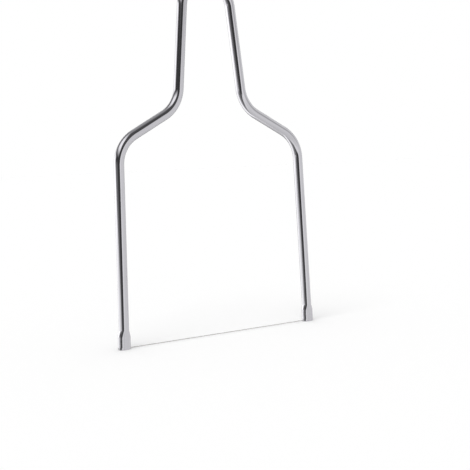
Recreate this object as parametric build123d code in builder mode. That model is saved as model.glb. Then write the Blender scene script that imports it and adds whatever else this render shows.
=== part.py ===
from build123d import *
from math import cos, radians, sin, tan
import os

# A wire cheese slicer: a bow bent from one round steel rod, with a thin wire strung across its open end.
# The bow lies in the XZ plane. X runs along the wire, Z up the bow, and Z = 0 is the cut end of both feet.
# Every length is in millimetres and every angle in degrees.

# The rod and its bends, all on the rod's centre line
rod_diameter = 5.0
bend_radius = 17.0
crown_radius = 14.0
shoulder_spacing = 105.0
shoulder_height = 99.8
leg_splay = 1.53
neck_spacing = 38.1
neck_height = 118.0
handle_taper = 5.8

# The feet: the rod's two ends, pressed evenly from the front and the back
foot_width = 6.4
foot_thickness = 4.2
foot_flat_length = 6.1
foot_flare_length = 3.6
foot_edge_break = 0.25

# The cutting wire and the sleeve crimped on each of its ends
wire_diameter = 0.4
wire_tail = 0.2
sleeve_diameter = 1.0
sleeve_length = 2.4
sleeve_edge_break = 0.1
sleeve_height = 0.05
sleeve_recess = 0.25
crimp_depth = 0.09
crimp_width = 0.55
crimp_spacing = 1.1

# Clearances round the wire in its sleeve, the wire in its slot and the sleeve in its pocket
crimp_clearance = 0.01
slot_clearance = 0.05
pocket_clearance = 0.04

# The bow's centre line, from the right foot to the crown
rod_radius = rod_diameter / 2
shoulder_x = shoulder_spacing / 2
neck_x = neck_spacing / 2
taper_slope = tan(radians(handle_taper))
crown_height = neck_height + (neck_x - crown_radius / cos(radians(handle_taper))) / taper_slope
crown_end_x = crown_radius * cos(radians(handle_taper))
crown_end_height = crown_height + crown_radius * sin(radians(handle_taper))

# The right leg's own frame: its origin is the middle of the rod at Z = 0 and its +Z runs up the leg
splay_cos = cos(radians(leg_splay))
splay_sin = sin(radians(leg_splay))
foot_x = shoulder_x + shoulder_height * splay_sin / splay_cos
leg_frame = Plane(origin=(foot_x, 0, 0), x_dir=(splay_cos, 0, splay_sin), z_dir=(-splay_sin, 0, splay_cos))
foot_top = leg_frame.offset(foot_flat_length + foot_flare_length)

# The wire and the right-hand sleeve
wire_height = sleeve_height + sleeve_diameter / 2
wire_radius = wire_diameter / 2
sleeve_radius = sleeve_diameter / 2
sleeve_outer_x = foot_x + foot_width / 2 - sleeve_recess
sleeve_inner_x = sleeve_outer_x - sleeve_length
sleeve_middle_x = (sleeve_inner_x + sleeve_outer_x) / 2
wire_end_x = sleeve_outer_x + wire_tail


def between(start, end, share):
    """The value that lies a share of the way from start to end."""
    return start + (end - start) * share


def eased(share):
    """A share of the way down the flare as a share of the pressing, with a soft start and end."""
    return share * share * (3 - 2 * share)


def section_outline(pressed):
    """The rod's outline, round where pressed is 0 and flat where it is 1, as two faces and two edges."""
    corner_x = between(rod_radius * cos(radians(45)), (foot_width - foot_thickness) / 2, pressed)
    corner_y = between(rod_radius * sin(radians(45)), foot_thickness / 2, pressed)
    face_y = between(rod_radius, foot_thickness / 2, pressed)
    edge_x = between(rod_radius, foot_width / 2, pressed)
    for side in (1, -1):
        face_start = (side * corner_x, side * corner_y)
        face_end = (-side * corner_x, side * corner_y)
        if pressed < 1:
            ThreePointArc(face_start, (0, side * face_y), face_end)
        else:
            Line(face_start, face_end)
        edge_end = (-side * corner_x, -side * corner_y)
        ThreePointArc(face_end, (-side * edge_x, 0), edge_end)


# The bow
with BuildPart() as bow_frame:
    # The flare of the right foot, where the round rod turns into the flat foot
    for step in (0.0, 0.2, 0.4, 0.6, 0.8, 1.0):
        with BuildSketch(foot_top.offset(-foot_flare_length * step)):
            with BuildLine():
                section_outline(eased(step))
            make_face()
    loft()

    # The flat of the foot, made too long and cut square at Z = 0
    with BuildSketch(leg_frame.offset(foot_flat_length)):
        with BuildLine():
            section_outline(1)
        make_face()
    extrude(amount=-(foot_flat_length + foot_width))
    split(bisect_by=Plane.XY, keep=Keep.TOP)
    chamfer(bow_frame.faces().sort_by(Axis.Z)[0].edges(), foot_edge_break)

    # The slot that the wire lies in, and the wider pocket for its sleeve, both open at the foot's cut end
    for channel_radius, channel_start_x in (
        (wire_radius + slot_clearance, foot_x - foot_width),
        (sleeve_radius + pocket_clearance, sleeve_inner_x),
    ):
        with BuildSketch(Plane.YZ.offset(channel_start_x)):
            with Locations((0, wire_height)):
                Circle(channel_radius)
                Rectangle(2 * channel_radius, wire_height + foot_width, align=(Align.CENTER, Align.MAX))
        extrude(amount=2 * foot_width, mode=Mode.SUBTRACT)
    mirror(about=Plane.YZ)

    # The round rod from foot to foot: leg, shoulder, neck and handle on each side, and the crown
    with BuildLine(Plane.XZ) as centre_line:
        right_side = FilletPolyline(
            (foot_top.origin.X, foot_top.origin.Z),
            (shoulder_x, shoulder_height),
            (neck_x, neck_height),
            (crown_end_x, crown_end_height),
            radius=bend_radius,
        )
        ThreePointArc(
            (crown_end_x, crown_end_height),
            (0, crown_height + crown_radius),
            (-crown_end_x, crown_end_height),
        )
        mirror(right_side, about=Plane.YZ)
    with BuildSketch(foot_top):
        Circle(rod_radius)
    sweep(path=centre_line.line)

# The cutting wire, one straight length from foot to foot
with BuildPart() as cutting_wire:
    with BuildSketch(Plane.YZ.offset(-wire_end_x)):
        with Locations((0, wire_height)):
            Circle(wire_radius)
    extrude(amount=2 * wire_end_x)

# The right-hand sleeve, bitten on to the wire in two places, with its inner end against its pocket's
with BuildPart() as right_wire_stop:
    with BuildSketch(Plane.XZ):
        with BuildLine():
            bore_height = wire_height + wire_radius + crimp_clearance
            rim_height = wire_height + sleeve_radius
            rim_end = (sleeve_outer_x - sleeve_edge_break, rim_height)
            rim_start = (sleeve_inner_x + sleeve_edge_break, rim_height)
            Polyline(
                rim_start,
                (sleeve_inner_x, rim_height - sleeve_edge_break),
                (sleeve_inner_x, bore_height),
                (sleeve_outer_x, bore_height),
                (sleeve_outer_x, rim_height - sleeve_edge_break),
                rim_end,
            )
            flat_end = rim_start
            for crimp_x in (sleeve_middle_x - crimp_spacing / 2, sleeve_middle_x + crimp_spacing / 2):
                crimp_start = (crimp_x - crimp_width / 2, rim_height)
                crimp_end = (crimp_x + crimp_width / 2, rim_height)
                Line(flat_end, crimp_start)
                ThreePointArc(crimp_start, (crimp_x, rim_height - crimp_depth), crimp_end)
                flat_end = crimp_end
            Line(flat_end, rim_end)
        make_face()
    revolve(axis=Axis((0, 0, wire_height), (1, 0, 0)))

with BuildPart() as left_wire_stop:
    mirror(right_wire_stop.part, about=Plane.YZ)

os.makedirs("parts", exist_ok=True)
pieces = {
    "bow_frame": bow_frame,
    "cutting_wire": cutting_wire,
    "left_wire_stop": left_wire_stop,
    "right_wire_stop": right_wire_stop,
}
for name, piece in pieces.items():
    piece.part.label = name
    export_step(piece.part, f"parts/{name}.step")
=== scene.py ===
"""A wire cheese slicer in a plain studio: a bent, polished steel rod with a thin wire across its feet."""

import logging
import math
from dataclasses import dataclass, field, replace
from enum import Enum

import bmesh
import bpy
from mathutils import Matrix, Vector


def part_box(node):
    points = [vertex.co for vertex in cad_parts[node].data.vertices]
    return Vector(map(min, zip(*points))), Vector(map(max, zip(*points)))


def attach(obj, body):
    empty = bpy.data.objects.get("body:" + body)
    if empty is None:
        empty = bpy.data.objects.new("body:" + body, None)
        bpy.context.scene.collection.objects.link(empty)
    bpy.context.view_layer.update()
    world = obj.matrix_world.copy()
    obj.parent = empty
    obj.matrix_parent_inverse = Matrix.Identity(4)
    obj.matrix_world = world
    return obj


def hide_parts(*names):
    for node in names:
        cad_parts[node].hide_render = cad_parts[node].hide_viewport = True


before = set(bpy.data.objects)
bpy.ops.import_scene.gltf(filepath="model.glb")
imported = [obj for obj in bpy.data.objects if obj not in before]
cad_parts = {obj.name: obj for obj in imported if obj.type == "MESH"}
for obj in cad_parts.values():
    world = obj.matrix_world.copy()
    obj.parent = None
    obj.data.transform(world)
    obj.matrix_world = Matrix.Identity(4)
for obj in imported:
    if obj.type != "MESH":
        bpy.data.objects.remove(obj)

LOG = logging.getLogger("cheese_slicer")
MM = 0.001
ROD_SPACE = "rod_space"
WHITE = (1, 1, 1, 1)
FACING_X = Matrix.Rotation(math.pi / 2, 4, "Y")
SoftEdge = tuple[float, float]
Colour = tuple[float, float, float, float]


class Side(Enum):
    """The two sides of the bow, each with the sign that X has there."""

    LEFT = -1
    RIGHT = 1


class Slot(Enum):
    """The record's material slots."""

    ROD = "polished_rod"
    WIRE = "drawn_wire"
    SLEEVE = "crimp_sleeve"


class Signal:
    """A node's output, on which Python's own operators add Math nodes."""

    def __init__(self, graph: "Graph", socket: bpy.types.NodeSocket) -> None:
        """Wraps a socket.

        Args:
            graph: The graph that the socket belongs to.
            socket: The output socket.
        """
        self.graph = graph
        self.socket = socket

    def maths(self, operation: str, *others: "Signal | float") -> "Signal":
        """Adds a Math node.

        Args:
            operation: The Math node's operation.
            others: Its inputs after this one, in order.

        Returns:
            The node's result.
        """
        inputs = dict(enumerate((self, *others)))
        return self.graph.signal("ShaderNodeMath", {"operation": operation}, inputs)

    def __add__(self, other: "Signal | float") -> "Signal":
        """This plus another value."""
        return self.maths("ADD", other)

    def __radd__(self, other: float) -> "Signal":
        """A number plus this."""
        return self.maths("ADD", other)

    def __sub__(self, other: "Signal | float") -> "Signal":
        """This minus another value."""
        return self.maths("SUBTRACT", other)

    def __rsub__(self, other: float) -> "Signal":
        """A number minus this."""
        return self.maths("MULTIPLY_ADD", -1, other)

    def __mul__(self, other: "Signal | float") -> "Signal":
        """This times another value."""
        return self.maths("MULTIPLY", other)

    def __rmul__(self, other: float) -> "Signal":
        """A number times this."""
        return self.maths("MULTIPLY", other)

    def __truediv__(self, other: "Signal | float") -> "Signal":
        """This divided by another value."""
        return self.maths("DIVIDE", other)

    def between(self, first: "Signal | float", second: "Signal | float") -> "Signal":
        """The value that lies this share of the way from the first to the second."""
        return first + self * (second - first)

    def either(self, other: "Signal") -> "Signal":
        """Where this share or another one is 1, or both are."""
        return 1 - (1 - self) * (1 - other)

    def rise(self, low: float, high: float) -> "Signal":
        """A smooth step over this value.

        Args:
            low: The value at which the step leaves 0.
            high: The value at which the step reaches 1, which may be below low.

        Returns:
            The step, from 0 to 1.
        """
        step = self.graph.signal(
            "ShaderNodeMapRange",
            {"interpolation_type": "SMOOTHSTEP"},
            {"Value": self, "From Min": min(low, high), "From Max": max(low, high)},
        )
        return 1 - step if low > high else step


class Graph:
    """A node tree that is written from Python."""

    def __init__(self, tree: bpy.types.NodeTree) -> None:
        """Empties a node tree.

        Args:
            tree: The tree to write in.
        """
        self.tree = tree
        tree.nodes.clear()

    def node(self, kind: str, settings: dict | None = None, inputs: dict | None = None) -> bpy.types.Node:
        """Adds a node, sets it up and then fills its sockets.

        Args:
            kind: The node's type.
            settings: Its properties, by name.
            inputs: Its sockets by name or number, each with a value or a signal.

        Returns:
            The node.
        """
        made = self.tree.nodes.new(kind)
        for name, value in (settings or {}).items():
            setattr(made, name, value)
        for name, value in (inputs or {}).items():
            if isinstance(value, Signal):
                self.tree.links.new(value.socket, made.inputs[name])
            else:
                made.inputs[name].default_value = value
        return made

    def signal(
        self, kind: str, settings: dict | None = None, inputs: dict | None = None, output: int | str = 0
    ) -> Signal:
        """Adds a node as node() does.

        Args:
            kind: The node's type.
            settings: Its properties, by name.
            inputs: Its sockets by name or number.
            output: The output socket that is wanted.

        Returns:
            That output.
        """
        return Signal(self, self.node(kind, settings, inputs).outputs[output])

    def mapped(self, place: Signal, **changes: tuple[float, float, float]) -> Signal:
        """A place moved by a Mapping node, whose sockets are given by name."""
        return self.signal("ShaderNodeMapping", None, {"Vector": place, **changes})

    def noise(self, place: Signal, stretch: tuple[float, float, float], detail: float) -> Signal:
        """Noise on a stretched copy of a place.

        Args:
            place: The place, in metres.
            stretch: How many of the noise's own lengths go into a metre, along each axis.
            detail: The noise's detail.

        Returns:
            The noise, from about 0 to 1.
        """
        inputs = {"Vector": self.mapped(place, Scale=stretch), "Scale": 1.0, "Detail": detail}
        return self.signal("ShaderNodeTexNoise", None, inputs)

    def blend(self, factor: Signal, first: Colour, second: Colour) -> Signal:
        """A mix of two colours.

        Args:
            factor: 0 for the first and 1 for the second.
            first: A colour.
            second: A colour.

        Returns:
            The mixed colour.
        """
        # A Mix node takes its colours at inputs 6 and 7 and gives the mixed colour at output 2
        inputs = {"Factor": factor, 6: first, 7: second}
        return self.signal("ShaderNodeMix", {"data_type": "RGBA"}, inputs, output=2)


@dataclass(frozen=True)
class SteelFinish:
    """Bright steel with the fine lengthwise lines that drawing and polishing leave.

    Args:
        name: The material's name.
        slot: The record's slot that it dresses; not used.
        bright: The colour where the polish is best.
        dull: The colour in the lines and under the smears.
        polish: The roughness where the polish is best.
        smear: What a smear adds to the roughness.
        line_width: How wide the drawn lines are.
        line_length: How long the drawn lines are.
        line_depth: How deep the drawn lines are.
        smear_size: How wide the smears are, which is half their length.
        line_detail: The detail of the lines' noise.
        smear_detail: The detail of the smears' noise.
        line_edge: The noise at which a line starts to show and shows fully.
        smear_edge: The noise at which a smear starts to show and shows fully.
        line_roughness: What the lines add to the roughness, as a share of it.
        line_dulling: How dull the steel is in a line.
        smear_dulling: How dull it is under a smear.
        scratch_length: How long the scratches are.
        scratch_width: How wide the scratches are.
        scratch_share: The share of the steel that has scratches.
        scratch_lean: How the scratches are turned from the lines, in radians.
        scratch_edge: The share of its cell at which a scratch ends, and the one at which it is whole.
        scratch_roughness: What a scratch adds to the roughness.
        pressed_height: How far up from the cut ends the metal was pressed, or 0.
        pressed_roughness: What the pressing adds to the roughness.
        pressed_core: The share of that height over which it is added in full.
    """

    name: str
    slot: Slot
    bright: Colour
    dull: Colour
    polish: float
    smear: float
    line_width: float
    line_length: float
    line_depth: float
    smear_size: float
    line_detail: float = 3.0
    smear_detail: float = 2.0
    line_edge: SoftEdge = (0.35, 0.7)
    smear_edge: SoftEdge = (0.5, 0.7)
    line_roughness: float = 0.5
    line_dulling: float = 0.7
    smear_dulling: float = 0.3
    scratch_length: float = 5 * MM
    scratch_width: float = 0.05 * MM
    scratch_share: float = 0.03
    scratch_lean: tuple[float, float, float] = (0.3, 0.2, 0)
    scratch_edge: SoftEdge = (0.5, 0.15)
    scratch_roughness: float = 0.15
    pressed_height: float = 0.0
    pressed_roughness: float = 0.0
    pressed_core: float = 0.8

    def scratches(self, graph: Graph, place: Signal) -> Signal:
        """Scatters fine scratches: space is filled with long, thin cells, and a few of them hold a scratch.

        Args:
            graph: The material's graph.
            place: The place on the rod.

        Returns:
            The scratches, 1 in their middle and 0 away from them.
        """
        stretch = (1 / self.scratch_width, 1 / self.scratch_width, 1 / self.scratch_length)
        thin = graph.mapped(graph.mapped(place, Rotation=self.scratch_lean), Scale=stretch)
        cells = graph.node("ShaderNodeTexVoronoi", {"feature": "F1"}, {"Vector": thin, "Scale": 1.0})
        colour = Signal(graph, cells.outputs["Color"])
        chance = graph.signal("ShaderNodeSeparateColor", None, {"Color": colour})
        middle = Signal(graph, cells.outputs["Distance"]).rise(*self.scratch_edge)
        return middle * chance.maths("LESS_THAN", self.scratch_share)

    def pressing(self, graph: Graph) -> Signal:
        """Works out what the pressing of the rod's ends adds to the roughness.

        Args:
            graph: The material's graph.

        Returns:
            The roughness to add.
        """
        where = graph.signal("ShaderNodeTexCoord", output="Object")
        up = graph.signal("ShaderNodeSeparateXYZ", None, {0: where}, output="Z")
        core_height = self.pressed_core * self.pressed_height
        return self.pressed_roughness * up.rise(self.pressed_height, core_height)

    def material(self) -> bpy.types.Material:
        """Builds the material.

        Returns:
            The material.
        """
        made = bpy.data.materials.new(self.name)
        made.use_nodes = True
        graph = Graph(made.node_tree)
        place = graph.signal("ShaderNodeAttribute", {"attribute_name": ROD_SPACE}, output="Vector")
        across, along = 1 / self.line_width, 1 / self.line_length
        lines = graph.noise(place, (across, across, along), self.line_detail)
        patch = 1 / self.smear_size
        smears = graph.noise(place, (patch, patch, patch / 2), self.smear_detail).rise(*self.smear_edge)
        scratches = self.scratches(graph, place)
        roughness = self.polish + self.smear * smears + self.line_roughness * self.polish * lines
        roughness = roughness + self.scratch_roughness * scratches
        if self.pressed_height:
            roughness = roughness + self.pressing(graph)
        dullness = self.line_dulling * lines.rise(*self.line_edge) + self.smear_dulling * smears
        bump = graph.signal(
            "ShaderNodeBump",
            None,
            {"Strength": 1.0, "Distance": self.line_depth, "Height": lines - scratches},
        )
        shader = graph.signal(
            "ShaderNodeBsdfPrincipled",
            None,
            {
                "Base Color": graph.blend(dullness, self.bright, self.dull),
                "Metallic": 1.0,
                "Roughness": roughness,
                "Normal": bump,
            },
        )
        graph.node("ShaderNodeOutputMaterial", None, {"Surface": shader})
        return made


POLISHED_ROD = SteelFinish(
    name="polished_stainless_rod",
    slot=Slot.ROD,
    bright=(0.61, 0.602, 0.634, 1),
    dull=(0.51, 0.503, 0.53, 1),
    polish=0.06,
    smear=0.06,
    line_width=0.25 * MM,
    line_length=40 * MM,
    line_depth=0.002 * MM,
    smear_size=14 * MM,
    pressed_roughness=0.06,
)
DRAWN_WIRE = SteelFinish(
    name="drawn_stainless_wire",
    slot=Slot.WIRE,
    bright=(0.74, 0.73, 0.72, 1),
    dull=(0.6, 0.59, 0.57, 1),
    polish=0.2,
    smear=0.08,
    line_width=0.05 * MM,
    line_length=12 * MM,
    line_depth=0.0004 * MM,
    smear_size=6 * MM,
)
CRIMPED_STEEL = SteelFinish(
    name="crimped_steel_sleeve",
    slot=Slot.SLEEVE,
    bright=(0.5, 0.49, 0.47, 1),
    dull=(0.36, 0.35, 0.33, 1),
    polish=0.26,
    smear=0.1,
    line_width=0.08 * MM,
    line_length=0.5 * MM,
    line_depth=0.001 * MM,
    smear_size=0.8 * MM,
)


class Ring:
    """One closed loop of a tube under construction, which extrudes itself onwards."""

    def __init__(self, mesh: bmesh.types.BMesh, radius: float, segments: int, place: Matrix) -> None:
        """Starts a tube with a circle.

        Args:
            mesh: The mesh to build in, which holds nothing yet.
            radius: The circle's radius.
            segments: How many vertices it has.
            place: The frame whose XY plane holds the circle.
        """
        self.mesh = mesh
        self.space = mesh.verts.layers.float_vector.new(ROD_SPACE)
        self.travelled = 0.0
        self.centre = place.to_translation()
        bmesh.ops.create_circle(mesh, cap_ends=False, segments=segments, radius=radius)
        self.verts = mesh.verts[:]
        self.edges = mesh.edges[:]
        for vert in self.verts:
            vert[self.space] = vert.co
        bmesh.ops.transform(mesh, matrix=place, verts=self.verts)

    def _grow(self, distance: float) -> None:
        """Extrudes the loop in place and marks how far along the tube it now is.

        Args:
            distance: How much farther along that is than the last loop.
        """
        made = bmesh.ops.extrude_edge_only(self.mesh, edges=self.edges)["geom"]
        self.verts = [part for part in made if isinstance(part, bmesh.types.BMVert)]
        self.edges = [part for part in made if isinstance(part, bmesh.types.BMEdge) and part.is_boundary]
        self.travelled += distance
        for vert in self.verts:
            vert[self.space] = (vert[self.space].x, vert[self.space].y, self.travelled)

    def run(self, way: Vector, steps: int = 1) -> None:
        """Carries the tube straight on.

        Args:
            way: The whole move.
            steps: How many lengths it is made in.
        """
        self.centre = self.centre + way
        for _ in range(steps):
            self._grow(way.length / steps)
            bmesh.ops.translate(self.mesh, verts=self.verts, vec=way / steps)

    def turn(self, centre: Vector, angle: float, radius: float, steps: int) -> None:
        """Carries the tube round a bend in the XZ plane.

        Args:
            centre: The bend's centre.
            angle: The turn about +Y, in radians.
            radius: The bend's radius on the tube's centre line.
            steps: How many lengths it is made in.
        """
        self.centre = centre + Matrix.Rotation(angle, 3, "Y") @ (self.centre - centre)
        for _ in range(steps):
            self._grow(abs(angle) * radius / steps)
            turned = Matrix.Rotation(angle / steps, 3, "Y")
            bmesh.ops.rotate(self.mesh, cent=centre, matrix=turned, verts=self.verts)

    def resize(self, share: float) -> None:
        """Scales the loop about its centre, to a share of its size."""
        space = Matrix.Translation(-self.centre)
        bmesh.ops.scale(self.mesh, vec=(share,) * 3, space=space, verts=self.verts)


def close_ends(mesh: bmesh.types.BMesh, edge_break: float, segments: int) -> None:
    """Closes a tube's open ends and rounds their edges.

    Args:
        mesh: The tube.
        edge_break: How far the rounding reaches.
        segments: How many faces it has across.
    """
    rims = [edge for edge in mesh.edges if edge.is_boundary]
    bmesh.ops.edgenet_fill(mesh, edges=rims)
    bmesh.ops.bevel(
        mesh,
        geom=rims,
        offset=edge_break,
        segments=segments,
        profile=0.5,
        affect="EDGES",
        material=-1,
    )


def mesh_object(mesh: bmesh.types.BMesh, name: str) -> bpy.types.Object:
    """Puts a finished bmesh in the scene.

    Args:
        mesh: The shape, which is freed.
        name: The object's name.

    Returns:
        The object.
    """
    data = bpy.data.meshes.new(name)
    mesh.to_mesh(data)
    mesh.free()
    made = bpy.data.objects.new(name, data)
    bpy.context.scene.collection.objects.link(made)
    return made


def finish_piece(
    mesh: bmesh.types.BMesh, name: str, finish: SteelFinish, node: str, crease: float
) -> bpy.types.Object:
    """Turns a finished bmesh into a piece that stands for a CAD node.

    Args:
        mesh: The shape, which is freed.
        name: The piece's name.
        finish: Its finish.
        node: The CAD node that it stands for.
        crease: The angle between faces past which an edge stays sharp.

    Returns:
        The piece.
    """
    bmesh.ops.recalc_face_normals(mesh, faces=mesh.faces)
    piece = mesh_object(mesh, name)
    piece.data.shade_smooth()
    piece.data.set_sharp_from_angle(angle=crease)
    piece.data.materials.append(finish.material())
    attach(piece, "root")
    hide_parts(node)
    return piece


@dataclass
class Bow:
    """The bow: one round rod, bent in the XZ plane, whose two ends are pressed flat and slotted.

    The sizes are those of the CAD, and where the wire and its sleeve lie is read from the frame.

    Args:
        wire_height: The height of the wire's axis.
        sleeve_inner_x: Where the right-hand sleeve's pocket starts.
        rod_radius: The rod's radius.
        bend_radius: The radius of the shoulders' and necks' bends, on the rod's centre line.
        crown_radius: The same for the crown.
        shoulder_x: Where the leg's centre line meets the shoulder's.
        shoulder_height: The height of that place.
        leg_splay: How far each leg leans out towards its foot.
        neck_x: Where the shoulder's centre line meets the handle's.
        neck_height: The height of that place.
        handle_taper: How far each side of the handle leans in.
        foot_width: The width of the pressed foot, along X.
        foot_thickness: Its thickness, along Y.
        foot_flat_length: How far up the foot is fully pressed.
        foot_flare_length: How long the change to the round rod is.
        foot_edge_break: How far the edges of the cut are rounded.
        slot_radius: The radius of the wire's slot.
        pocket_radius: The radius of the sleeve's pocket.
        segments: How many faces the rod has around.
        flare_steps: How many lengths the flare is made in.
        bend_steps: How many lengths each bend is made in.
        crown_steps: How many lengths each half of the crown is made in.
        edge_segments: How many faces the broken edges have across.
        channel_segments: How many faces a whole turn of the slots and pockets has.
        cut_margin: How far the tube reaches below its cut.
        loop_spacing: How far apart the loops of a foot's flat lie.
        loop_mark: What each of them adds to the length that the finish reads along the rod.
        flat_loops: How many there are between the cut and the flat's top.
        straight_step: About how long the faces of the straight lengths are.
        channel_depth: How far the slots' and pockets' cutters reach down past their own circle.
        mirror_merge: How close to X = 0 the two halves' vertices are merged.
        weld_merge: How close any two vertices are merged.
        pressed_margin: How far above the flare the marks of the pressing reach.
        crease: The angle between faces past which an edge stays sharp.
    """

    wire_height: float
    sleeve_inner_x: float
    rod_radius: float = 2.5 * MM
    bend_radius: float = 17 * MM
    crown_radius: float = 14 * MM
    shoulder_x: float = 52.5 * MM
    shoulder_height: float = 99.8 * MM
    leg_splay: float = math.radians(1.53)
    neck_x: float = 19.05 * MM
    neck_height: float = 118 * MM
    handle_taper: float = math.radians(5.8)
    foot_width: float = 6.4 * MM
    foot_thickness: float = 4.2 * MM
    foot_flat_length: float = 6.1 * MM
    foot_flare_length: float = 3.6 * MM
    foot_edge_break: float = 0.25 * MM
    slot_radius: float = 0.25 * MM
    pocket_radius: float = 0.54 * MM
    segments: int = 64
    flare_steps: int = 16
    bend_steps: int = 26
    crown_steps: int = 36
    edge_segments: int = 3
    channel_segments: int = 32
    cut_margin: float = 0.5 * MM
    loop_spacing: float = 1.5 * MM
    loop_mark: float = 1 * MM
    flat_loops: int = 3
    straight_step: float = 4 * MM
    channel_depth: float = 2 * MM
    mirror_merge: float = 0.01 * MM
    weld_merge: float = 0.001 * MM
    pressed_margin: float = 0.2 * MM
    crease: float = math.radians(32)

    @property
    def foot_x(self) -> float:
        """Where the leg's axis meets Z = 0."""
        return self.shoulder_x + self.shoulder_height * math.tan(self.leg_splay)

    @property
    def foot_length(self) -> float:
        """How far up the leg the pressed foot and its flare reach."""
        return self.foot_flat_length + self.foot_flare_length

    @property
    def leg_frame(self) -> Matrix:
        """The right leg's own frame, with +Z up the leg from its foot."""
        return Matrix.Translation((self.foot_x, 0, 0)) @ Matrix.Rotation(-self.leg_splay, 4, "Y")

    def pressed_outline(self, angle: float) -> Vector:
        """A point of the pressed foot's outline.

        Args:
            angle: Where the point was on the round rod, as the angle from +X.

        Returns:
            The point, in the leg's own XY plane, about the foot's middle.
        """
        edge_radius = self.foot_thickness / 2
        half_flat = self.foot_width / 2 - edge_radius
        edge_length = edge_radius * math.pi / 2
        across, up = math.cos(angle), math.sin(angle)
        share = math.atan2(abs(up), abs(across)) / (math.pi / 2)
        length = share * (edge_length + half_flat)
        if length < edge_length:
            turned = length / edge_radius
            x, y = half_flat + edge_radius * math.cos(turned), edge_radius * math.sin(turned)
        else:
            x, y = half_flat + edge_length - length, edge_radius
        return Vector((math.copysign(x, across), math.copysign(y, up), 0))

    def press(self, ring: Ring, height: float, pressed: float) -> None:
        """Presses one loop of the rod.

        Args:
            ring: The loop.
            height: Its height up the leg from the foot's end.
            pressed: 0 where the rod is round and 1 where it is flat.
        """
        for vert in ring.verts:
            round_place = Vector((vert[ring.space].x, vert[ring.space].y, 0))
            flat_place = self.pressed_outline(math.atan2(round_place.y, round_place.x))
            place = round_place.lerp(flat_place, pressed)
            place.z = height
            vert.co = self.leg_frame @ place
        ring.centre = self.leg_frame @ Vector((0, 0, height))

    def foot(self, ring: Ring) -> None:
        """Carries the tube up through the pressed foot and its flare.

        Args:
            ring: The loop below the foot's end, which this moves to the top of the flare.
        """
        up_leg = self.leg_frame.to_3x3() @ Vector((0, 0, 1))
        heights = [self.loop_spacing * loop for loop in range(1, self.flat_loops + 1)]
        self.press(ring, -self.cut_margin, 1)
        for height in (*heights, self.foot_flat_length):
            ring.run(up_leg * self.loop_mark)
            self.press(ring, height, 1)
        for step in range(1, self.flare_steps + 1):
            share = 1 - step / self.flare_steps
            ring.run(up_leg * self.foot_flare_length / self.flare_steps)
            height = self.foot_flat_length + self.foot_flare_length * (1 - share)
            pressed = share * share * (3 - 2 * share)
            self.press(ring, height, pressed)

    def bend(self, ring: Ring, corner: Vector, onwards: Vector) -> None:
        """Carries the tube straight to a bend and then round it.

        Args:
            ring: The tube's loop.
            corner: Where the centre lines before and after the bend would meet.
            onwards: A place on the centre line after the bend.
        """
        before = (corner - ring.centre).normalized()
        after = (onwards - corner).normalized()
        turn = before.angle(after)
        side = math.copysign(1, before.cross(after).y)
        way = corner - before * self.bend_radius * math.tan(turn / 2) - ring.centre
        ring.run(way, round(way.length / self.straight_step))
        inwards = Matrix.Rotation(side * math.pi / 2, 3, "Y") @ before
        ring.turn(ring.centre + inwards * self.bend_radius, side * turn, self.bend_radius, self.bend_steps)

    def right_half(self, mesh: bmesh.types.BMesh) -> float:
        """Builds the right half of the rod, from its foot to the middle of the crown.

        Args:
            mesh: The mesh to build in.

        Returns:
            The half's length, as the finish reads it.
        """
        ring = Ring(mesh, self.rod_radius, self.segments, self.leg_frame)
        self.foot(ring)
        taper = self.handle_taper
        shoulder = Vector((self.shoulder_x, 0, self.shoulder_height))
        neck = Vector((self.neck_x, 0, self.neck_height))
        crown_rise = (self.neck_x - self.crown_radius / math.cos(taper)) / math.tan(taper)
        crown = Vector((0, 0, self.neck_height + crown_rise))
        crown_start = crown + self.crown_radius * Vector((math.cos(taper), 0, math.sin(taper)))
        self.bend(ring, shoulder, neck)
        self.bend(ring, neck, crown_start)
        way = crown_start - ring.centre
        ring.run(way, round(way.length / self.straight_step))
        ring.turn(crown, taper - math.pi / 2, self.crown_radius, self.crown_steps)
        return ring.travelled

    def mirror(self, mesh: bmesh.types.BMesh, half_length: float) -> None:
        """Adds the left half, on which the length along the rod goes on.

        Args:
            mesh: The right half.
            half_length: The right half's length.
        """
        everything = mesh.verts[:] + mesh.edges[:] + mesh.faces[:]
        bmesh.ops.mirror(mesh, geom=everything, axis="X", merge_dist=self.mirror_merge)
        bmesh.ops.remove_doubles(mesh, verts=mesh.verts, dist=self.weld_merge)
        space = mesh.verts.layers.float_vector[ROD_SPACE]
        for vert in mesh.verts:
            if vert.co.x < 0:
                x, y, along = vert[space]
                vert[space] = (x, y, 2 * half_length - along)

    def cut_feet(self, mesh: bmesh.types.BMesh) -> None:
        """Cuts both feet square at Z = 0, closes them and breaks their edges.

        Args:
            mesh: The bow.
        """
        everything = mesh.verts[:] + mesh.edges[:] + mesh.faces[:]
        level = {"plane_co": (0, 0, 0), "plane_no": (0, 0, 1)}
        bmesh.ops.bisect_plane(mesh, geom=everything, clear_inner=True, **level)
        close_ends(mesh, self.foot_edge_break, self.edge_segments)

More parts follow.
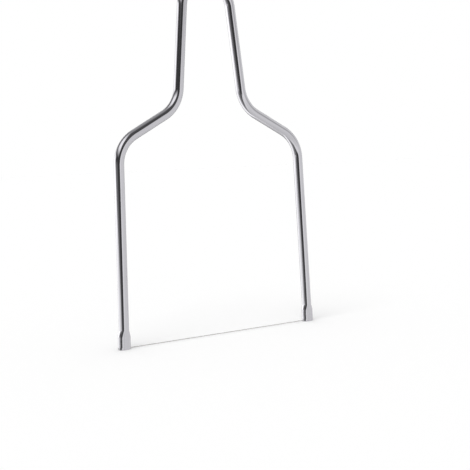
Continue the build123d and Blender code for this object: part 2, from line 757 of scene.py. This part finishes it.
    def channel(self, name: str, radius: float, spans: tuple[tuple[float, float], ...]) -> bpy.types.Object:
        """Builds the shape of a channel along X that is open below.

        Args:
            name: The shape's name.
            radius: The radius of the channel's roof.
            spans: The start and end of each stretch.

        Returns:
            The shape, as an object to cut with.
        """
        mesh = bmesh.new()
        for start, end in spans:
            place = Matrix.Translation((start, 0, self.wire_height)) @ FACING_X
            made = bmesh.ops.create_circle(
                mesh, cap_ends=True, segments=self.channel_segments, radius=radius, matrix=place
            )
            circle = made["verts"]
            lower = [vert for vert in circle if vert.co.z < self.wire_height]
            bmesh.ops.translate(mesh, verts=lower, vec=(0, 0, -self.channel_depth))
            cap = circle[0].link_faces[:]
            grown = bmesh.ops.extrude_face_region(mesh, geom=cap, use_keep_orig=True)["geom"]
            ends = [part for part in grown if isinstance(part, bmesh.types.BMVert)]
            bmesh.ops.translate(mesh, verts=ends, vec=(end - start, 0, 0))
        bmesh.ops.recalc_face_normals(mesh, faces=mesh.faces)
        return mesh_object(mesh, name)

    def cut_channels(self, piece: bpy.types.Object) -> None:
        """Cuts the wire's slots and the sleeves' pockets into the feet.

        Args:
            piece: The bow.
        """
        slot_end = self.foot_x + self.foot_width
        pocket_end = self.sleeve_inner_x + self.foot_width
        pockets = ((self.sleeve_inner_x, pocket_end), (-pocket_end, -self.sleeve_inner_x))
        cutters = (
            self.channel("wire_slots", self.slot_radius, ((-slot_end, slot_end),)),
            self.channel("sleeve_pockets", self.pocket_radius, pockets),
        )
        for cutter in cutters:
            cut = piece.modifiers.new(cutter.name, "BOOLEAN")
            cut.operation = "DIFFERENCE"
            cut.solver = "EXACT"
            cut.object = cutter
        seen = piece.evaluated_get(bpy.context.evaluated_depsgraph_get())
        data = bpy.data.meshes.new_from_object(seen)
        piece.modifiers.clear()
        piece.data = data
        for cutter in cutters:
            bpy.data.objects.remove(cutter)
        data.set_sharp_from_angle(angle=self.crease)

    def build(self) -> bpy.types.Object:
        """Builds the bow.

        Returns:
            The piece.
        """
        mesh = bmesh.new()
        self.mirror(mesh, self.right_half(mesh))
        self.cut_feet(mesh)
        finish = replace(POLISHED_ROD, pressed_height=self.foot_length + self.pressed_margin)
        piece = finish_piece(mesh, "bent_bow", finish, "bow_frame", self.crease)
        self.cut_channels(piece)
        return piece


@dataclass
class StrungWire:
    """The cutting wire, strung along X between the feet.

    Args:
        middle: The middle of the wire.
        radius: Its radius.
        half_length: How far it reaches to each side.
        segments: How many faces it has around.
        steps: How many lengths it is made in.
        end_break: How far the edges of its ends are rounded.
        end_segments: How many faces those edges have across.
        crease: The angle between faces past which an edge stays sharp.
    """

    middle: Vector
    radius: float
    half_length: float
    segments: int = 20
    steps: int = 24
    end_break: float = 0.04 * MM
    end_segments: int = 2
    crease: float = math.radians(40)

    def build(self) -> bpy.types.Object:
        """Builds the wire.

        Returns:
            The piece.
        """
        mesh = bmesh.new()
        start = Vector((-self.half_length, self.middle.y, self.middle.z))
        ring = Ring(mesh, self.radius, self.segments, Matrix.Translation(start) @ FACING_X)
        ring.run(Vector((2 * self.half_length, 0, 0)), self.steps)
        close_ends(mesh, self.end_break, self.end_segments)
        return finish_piece(mesh, "strung_wire", DRAWN_WIRE, "cutting_wire", self.crease)


@dataclass
class CrimpSleeve:
    """A short tube that two bites of a tool have closed on the wire's end.

    Args:
        side: The side of the bow that it is on.
        node: The CAD node that it stands for.
        start: The middle of its inner end, on the right-hand side.
        radius: Its radius.
        bore_radius: The radius of its bore.
        length: Its length.
        edge_break: How far the edges of its ends are cut back.
        crimp_depth: How deep each bite is.
        crimp_width: How wide each bite is.
        crimp_spacing: How far apart their middles are.
        crimp_steps: How many faces each bite has along the sleeve.
        segments: How many faces the sleeve has around.
        crease: The angle between faces past which an edge stays sharp.
    """

    side: Side
    node: str
    start: Vector
    radius: float
    bore_radius: float
    length: float
    edge_break: float = 0.1 * MM
    crimp_depth: float = 0.09 * MM
    crimp_width: float = 0.55 * MM
    crimp_spacing: float = 1.1 * MM
    crimp_steps: int = 8
    segments: int = 32
    crease: float = math.radians(40)

    def profile(self) -> list[tuple[float, float]]:
        """Works out the outside of the sleeve.

        Returns:
            The distance from the inner end and the radius of each loop.
        """
        loops = [(0.0, self.radius - self.edge_break), (self.edge_break, self.radius)]
        for centre in ((self.length - self.crimp_spacing) / 2, (self.length + self.crimp_spacing) / 2):
            crimp_start = centre - self.crimp_width / 2
            for step in range(self.crimp_steps + 1):
                share = step / self.crimp_steps
                bite = self.crimp_depth * (1 - math.cos(2 * math.pi * share)) / 2
                loops.append((crimp_start + self.crimp_width * share, self.radius - bite))
        loops.append((self.length - self.edge_break, self.radius))
        loops.append((self.length, self.radius - self.edge_break))
        return loops

    def build(self) -> bpy.types.Object:
        """Builds the sleeve.

        Returns:
            The piece.
        """
        mesh = bmesh.new()
        ring = Ring(mesh, self.bore_radius, self.segments, Matrix.Translation(self.start) @ FACING_X)
        bore_edges = ring.edges
        size = self.bore_radius
        for distance, radius in (*self.profile(), (self.length, self.bore_radius)):
            ring.run(self.start + Vector((distance, 0, 0)) - ring.centre)
            ring.resize(radius / size)
            size = radius
        bmesh.ops.bridge_loops(mesh, edges=bore_edges + ring.edges)
        bmesh.ops.scale(mesh, vec=(self.side.value, 1, 1), verts=mesh.verts)
        name = f"{self.side.name.lower()}_crimp_sleeve"
        return finish_piece(mesh, name, CRIMPED_STEEL, self.node, self.crease)


@dataclass(frozen=True)
class Room:
    """The room that the polished steel reflects, in angles up and to the left of the front, in degrees.

    A soft edge is a pair of angles: what it bounds isn't there at the first and is whole at the second. The
    levels are brightness, where 1 is white.

    Args:
        wall: The level of the walls.
        floor_shade: How much darker the floor is than the walls.
        floor_edge: Where the floor starts.
        high_shade: How much darker the upper wall is.
        high_edge: Where the upper wall starts.
        high_right: Where its shade ends on the right.
        lit: How much lighter the lit wall at the back on the left is.
        lit_start: Where the lit wall starts.
        lit_end: Where it ends.
        lit_far: How much lighter still its far part is.
        lit_far_edge: Where the far part starts.
        lit_high: How much lighter still its upper part is.
        lit_high_edge: Where the upper part starts.
        dark: The level of the dark end of the room, on the left.
        dark_edge: The angle up of its slanting near edge, straight in front.
        dark_slope: How far that edge comes down for each degree to the left.
        dark_softness: Half the width of that edge, straight in front.
        dark_blur: How much the softness grows for each degree to the left.
        dark_notch: How far the dark end is set back low down.
        notch_top: Where the notch starts.
        notch_bottom: Where it ends.
        dark_end: Where the dark end is over.
        table_reach: How far the dark end is cut back by the edge of a pale table.
        table_top: Where the table's edge starts.
        table_bottom: Where it ends.
        dim: How much lighter the far and low part of the dark end is.
        dim_left: Where that part starts on the left.
        dim_low: Where it starts below.
        glow: How much lighter the wall is beside the dark end.
        glow_gap: How far from the dark end the glow is strongest.
        glow_width: How far the glow reaches.
        glow_end: Where the glow ends on the left.
        grey: The level of the ceiling.
        grey_gain: How much lighter the ceiling is in its middle and at both its ends.
        grey_top: Where the ceiling's middle starts.
        grey_left: Where its left end starts.
        grey_right: Where its right end starts.
        ceiling_low: Where the ceiling starts on the left.
        ceiling_right: Where that low part of it ends on the right.
        ceiling_high: Where it starts all round.
        window: The level of the tall window.
        window_lean: How much higher the window is for each degree to the left.
        window_level: The angle to the left at which its heights are given.
        window_start: Where it starts.
        window_end: Where it ends.
        window_bottom: Where its foot is.
        window_top: Where its head is.
        doorway: The level of the doorway at the back on the right.
        doorway_start: Where it starts.
        doorway_end: Where it ends.
        doorway_bottom: Where its foot is.
        doorway_top: Where its head is.
    """

    wall: float = 0.92
    floor_shade: float = 0.09
    floor_edge: SoftEdge = (-30, -60)
    high_shade: float = 0.36
    high_edge: SoftEdge = (1, 15)
    high_right: SoftEdge = (-69, -55)
    lit: float = 0.3
    lit_start: SoftEdge = (90, 112)
    lit_end: SoftEdge = (180, 150)
    lit_far: float = 0.7
    lit_far_edge: SoftEdge = (134, 146)
    lit_high: float = 0.5
    lit_high_edge: SoftEdge = (-5, 1)
    dark: float = 0.055
    dark_edge: float = 5.6
    dark_slope: float = 0.92
    dark_softness: float = 1.0
    dark_blur: float = 0.14
    dark_notch: float = 8
    notch_top: SoftEdge = (-7, -13)
    notch_bottom: SoftEdge = (-38, -24)
    dark_end: SoftEdge = (114, 98)
    table_reach: float = 32
    table_top: SoftEdge = (2, -7)
    table_bottom: SoftEdge = (-14, -7)
    dim: float = 0.225
    dim_left: SoftEdge = (36, 81)
    dim_low: SoftEdge = (16, 0)
    glow: float = 0.22
    glow_gap: float = 12
    glow_width: float = 20
    glow_end: SoftEdge = (50, 30)
    grey: float = 0.105
    grey_gain: float = 0.2
    grey_top: SoftEdge = (62, 78)
    grey_left: SoftEdge = (105, 135)
    grey_right: SoftEdge = (-15, -70)
    ceiling_low: SoftEdge = (16, 24)
    ceiling_right: SoftEdge = (-25, 0)
    ceiling_high: SoftEdge = (42, 66)
    window: float = 1.39
    window_lean: float = 0.215
    window_level: float = 70
    window_start: SoftEdge = (33, 43)
    window_end: SoftEdge = (119, 116)
    window_bottom: SoftEdge = (18, 41)
    window_top: SoftEdge = (82, 53)
    doorway: float = 0.1
    doorway_start: SoftEdge = (-120, -136)
    doorway_end: SoftEdge = (-178, -166)
    doorway_bottom: SoftEdge = (-45, -25)
    doorway_top: SoftEdge = (44, 26)

    def walls(self, up: Signal, left: Signal) -> Signal:
        """Works out the pale walls and floor, with the dark doorway.

        Args:
            up: The angle up.
            left: The angle to the left.

        Returns:
            The brightness.
        """
        far = self.lit_far * left.rise(*self.lit_far_edge)
        high = self.lit_high * up.rise(*self.lit_high_edge)
        lit = (self.lit + far + high) * left.rise(*self.lit_start) * left.rise(*self.lit_end)
        shade = self.high_shade * up.rise(*self.high_edge) * left.rise(*self.high_right)
        walls = self.wall - self.floor_shade * up.rise(*self.floor_edge) + lit - shade
        across = left.rise(*self.doorway_start) * left.rise(*self.doorway_end)
        doorway = across * up.rise(*self.doorway_bottom) * up.rise(*self.doorway_top)
        return doorway.between(walls, self.doorway)

    def sides(self, up: Signal, left: Signal) -> Signal:
        """Works out all that is below the ceiling: the walls, and the dark end with the glow beside it.

        Args:
            up: The angle up.
            left: The angle to the left.

        Returns:
            The brightness.
        """
        notch = self.dark_notch * up.rise(*self.notch_top) * up.rise(*self.notch_bottom)
        past_edge = up + self.dark_slope * left - self.dark_edge - notch
        softness = self.dark_softness + self.dark_blur * left.maths("MAXIMUM", 0)
        table = self.table_reach * up.rise(*self.table_top) * up.rise(*self.table_bottom)
        dark_end = (past_edge / softness).rise(-1, 1) * (left + table).rise(*self.dark_end)
        from_glow = (past_edge + softness + self.glow_gap).maths("ABSOLUTE")
        glow = self.glow * from_glow.rise(self.glow_width, 0) * left.rise(*self.glow_end)
        dark = self.dark + self.dim * left.rise(*self.dim_left) * up.rise(*self.dim_low)
        return dark_end.between(self.walls(up, left) + glow, dark)

    def brightness(self, graph: Graph) -> Signal:
        """Works out what the steel reflects in each direction.

        Args:
            graph: The world's graph.

        Returns:
            The brightness.
        """
        way = graph.signal("ShaderNodeTexCoord", output="Generated")
        split = graph.node("ShaderNodeSeparateXYZ", None, {0: way})
        x, y, z = (Signal(graph, split.outputs[axis]) for axis in "XYZ")
        up = z.maths("ARCSINE").maths("DEGREES")
        left = (-1 * x).maths("ARCTAN2", -1 * y).maths("DEGREES")
        gains = up.rise(*self.grey_top) + left.rise(*self.grey_left) + left.rise(*self.grey_right)
        grey = self.grey + self.grey_gain * gains
        low_ceiling = up.rise(*self.ceiling_low) * left.rise(*self.ceiling_right)
        ceiling = low_ceiling.either(up.rise(*self.ceiling_high))
        leaning = up - self.window_lean * (left - self.window_level)
        across = left.rise(*self.window_start) * left.rise(*self.window_end)
        window = across * leaning.rise(*self.window_bottom) * leaning.rise(*self.window_top)
        return window.between(ceiling.between(self.sides(up, left), grey), self.window)


@dataclass
class Studio:
    """The camera, the floor, the light and the room that the polished rod reflects.

    Args:
        focal_pixels: The photograph's focal length, in its pixels.
        image_pixels: The photograph's width, in its pixels.
        sensor_width: The camera's sensor, in millimetres.
        camera_place: Where the camera stands.
        camera_yaw: How far it is turned to the right of +Y.
        camera_pitch: How far it looks down.
        camera_roll: How far it is rolled.
        clip_start: The nearest distance that it sees.
        clip_end: The farthest distance that it sees.
        floor_size: The length of the floor's sides.
        sky_level: The strength of the even light.
        lamp_level: What the lamp adds to it on the floor.
        lamp_way: The way in which the lamp shines.
        lamp_width: The angle that the lamp takes up, which softens the shadow.
        room: The room for reflections.
    """

    focal_pixels: float = 900.0
    image_pixels: float = 470.0
    sensor_width: float = 36.0
    camera_place: tuple[float, float, float] = (-231.1 * MM, -401.9 * MM, 88.3 * MM)
    camera_yaw: float = math.radians(31.05)
    camera_pitch: float = math.radians(4.54)
    camera_roll: float = math.radians(-2.58)
    clip_start: float = 0.01
    clip_end: float = 100.0
    floor_size: float = 40.0
    sky_level: float = 0.72
    lamp_level: float = 0.28
    lamp_way: tuple[float, float, float] = (0.5, 0.35, -1)
    lamp_width: float = math.radians(35)
    room: Room = field(default_factory=Room)

    def camera(self) -> None:
        """Sets the camera up as the photograph was taken."""
        data = bpy.data.cameras.new("camera")
        data.sensor_width = self.sensor_width
        data.lens = self.sensor_width * self.focal_pixels / self.image_pixels
        data.clip_start = self.clip_start
        data.clip_end = self.clip_end
        camera = bpy.data.objects.new("camera", data)
        yaw = Matrix.Rotation(-self.camera_yaw, 4, "Z")
        pitch = Matrix.Rotation(math.pi / 2 - self.camera_pitch, 4, "X")
        roll = Matrix.Rotation(self.camera_roll, 4, "Z")
        camera.matrix_world = Matrix.Translation(self.camera_place) @ yaw @ pitch @ roll
        bpy.context.scene.collection.objects.link(camera)
        bpy.context.scene.camera = camera

    def floor(self) -> None:
        """Lays the pale floor that the slicer stands on. The steel reflects the room instead of it."""
        mesh = bmesh.new()
        bmesh.ops.create_grid(mesh, x_segments=1, y_segments=1, size=self.floor_size / 2)
        floor = mesh_object(mesh, "floor")
        material = bpy.data.materials.new("pale_floor")
        material.use_nodes = True
        graph = Graph(material.node_tree)
        shader = graph.signal("ShaderNodeBsdfDiffuse", None, {"Color": WHITE})
        graph.node("ShaderNodeOutputMaterial", None, {"Surface": shader})
        floor.data.materials.append(material)
        floor.visible_glossy = False

    def sky(self) -> None:
        """Makes the world: a white backdrop, even light, and the room for reflections."""
        world = bpy.data.worlds.new("studio")
        world.use_nodes = True
        graph = Graph(world.node_tree)
        light_path = graph.node("ShaderNodeLightPath")
        seen = Signal(graph, light_path.outputs["Is Camera Ray"])
        reflected = Signal(graph, light_path.outputs["Is Glossy Ray"])
        strength = reflected.between(seen.between(self.sky_level, 1.0), self.room.brightness(graph))
        background = graph.signal("ShaderNodeBackground", None, {"Color": WHITE, "Strength": strength})
        graph.node("ShaderNodeOutputWorld", None, {"Surface": background})
        bpy.context.scene.world = world

    def lamp(self) -> None:
        """Hangs one wide soft lamp over the left side, for the shadow on the floor."""
        data = bpy.data.lights.new("soft_lamp", "SUN")
        data.angle = self.lamp_width
        lamp = bpy.data.objects.new("soft_lamp", data)
        towards = Vector(self.lamp_way).normalized()
        data.energy = self.lamp_level * math.pi / -towards.z
        lamp.rotation_euler = towards.to_track_quat("-Z", "Y").to_euler()
        lamp.visible_glossy = False
        bpy.context.scene.collection.objects.link(lamp)

    def build(self) -> None:
        """Builds the studio."""
        bpy.context.scene.view_settings.view_transform = "Standard"
        self.camera()
        self.floor()
        self.sky()
        self.lamp()


@dataclass
class Slicer:
    """The whole slicer: the bow, its wire and the two sleeves that hold the wire.

    Args:
        bore_clearance: The gap between the wire and its sleeves.
    """

    bore_clearance: float = 0.01 * MM

    def build(self) -> list[bpy.types.Object]:
        """Builds every piece where the CAD frame has it.

        Returns:
            The pieces.
        """
        wire_low, wire_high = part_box("cutting_wire")
        sleeve_low, sleeve_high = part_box("right_wire_stop")
        middle = (wire_low + wire_high) / 2
        wire_radius = (wire_high.z - wire_low.z) / 2
        bow = Bow(wire_height=middle.z, sleeve_inner_x=sleeve_low.x)
        wire = StrungWire(middle=middle, radius=wire_radius, half_length=wire_high.x)
        pieces = [bow.build(), wire.build()]
        for side, node in ((Side.LEFT, "left_wire_stop"), (Side.RIGHT, "right_wire_stop")):
            sleeve = CrimpSleeve(
                side=side,
                node=node,
                start=Vector((sleeve_low.x, middle.y, middle.z)),
                radius=(sleeve_high.z - sleeve_low.z) / 2,
                bore_radius=wire_radius + self.bore_clearance,
                length=sleeve_high.x - sleeve_low.x,
            )
            pieces.append(sleeve.build())
        return pieces


def main() -> None:
    """Builds the studio and the slicer."""
    logging.basicConfig(level=logging.INFO, format="%(name)s: %(message)s")
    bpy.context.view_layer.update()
    Studio().build()
    for piece in Slicer().build():
        LOG.info("%s: %d faces", piece.name, len(piece.data.polygons))


if __name__ == "__main__":
    main()
